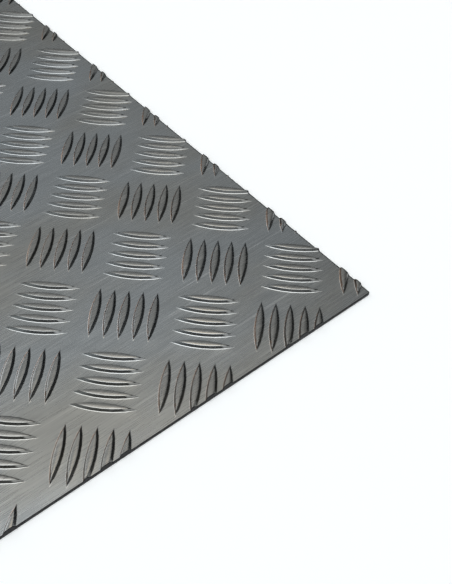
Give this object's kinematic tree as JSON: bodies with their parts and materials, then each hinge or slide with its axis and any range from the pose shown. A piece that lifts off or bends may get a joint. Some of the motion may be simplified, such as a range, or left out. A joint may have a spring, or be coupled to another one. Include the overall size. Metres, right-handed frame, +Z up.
{
  "type": "aluminium checker plate",
  "caption": "Flat square panel of rolled aluminium tread plate with raised lens-shaped bars in crossing groups on its upper face and a plain underside.",
  "frame": {"origin": "middle of the plate's flat underside", "axes": "+Z up through the treaded face, X and Y along the cut edges, rolling grain along X"},
  "size_m": [0.5, 0.5, 0.0035],
  "materials": {
    "mill_aluminium": "satin mill finish with fine rolling scratches, no coating"
  },
  "bodies": {
    "root": {"checker_plate": "mill_aluminium"}
  },
  "joints": []
}
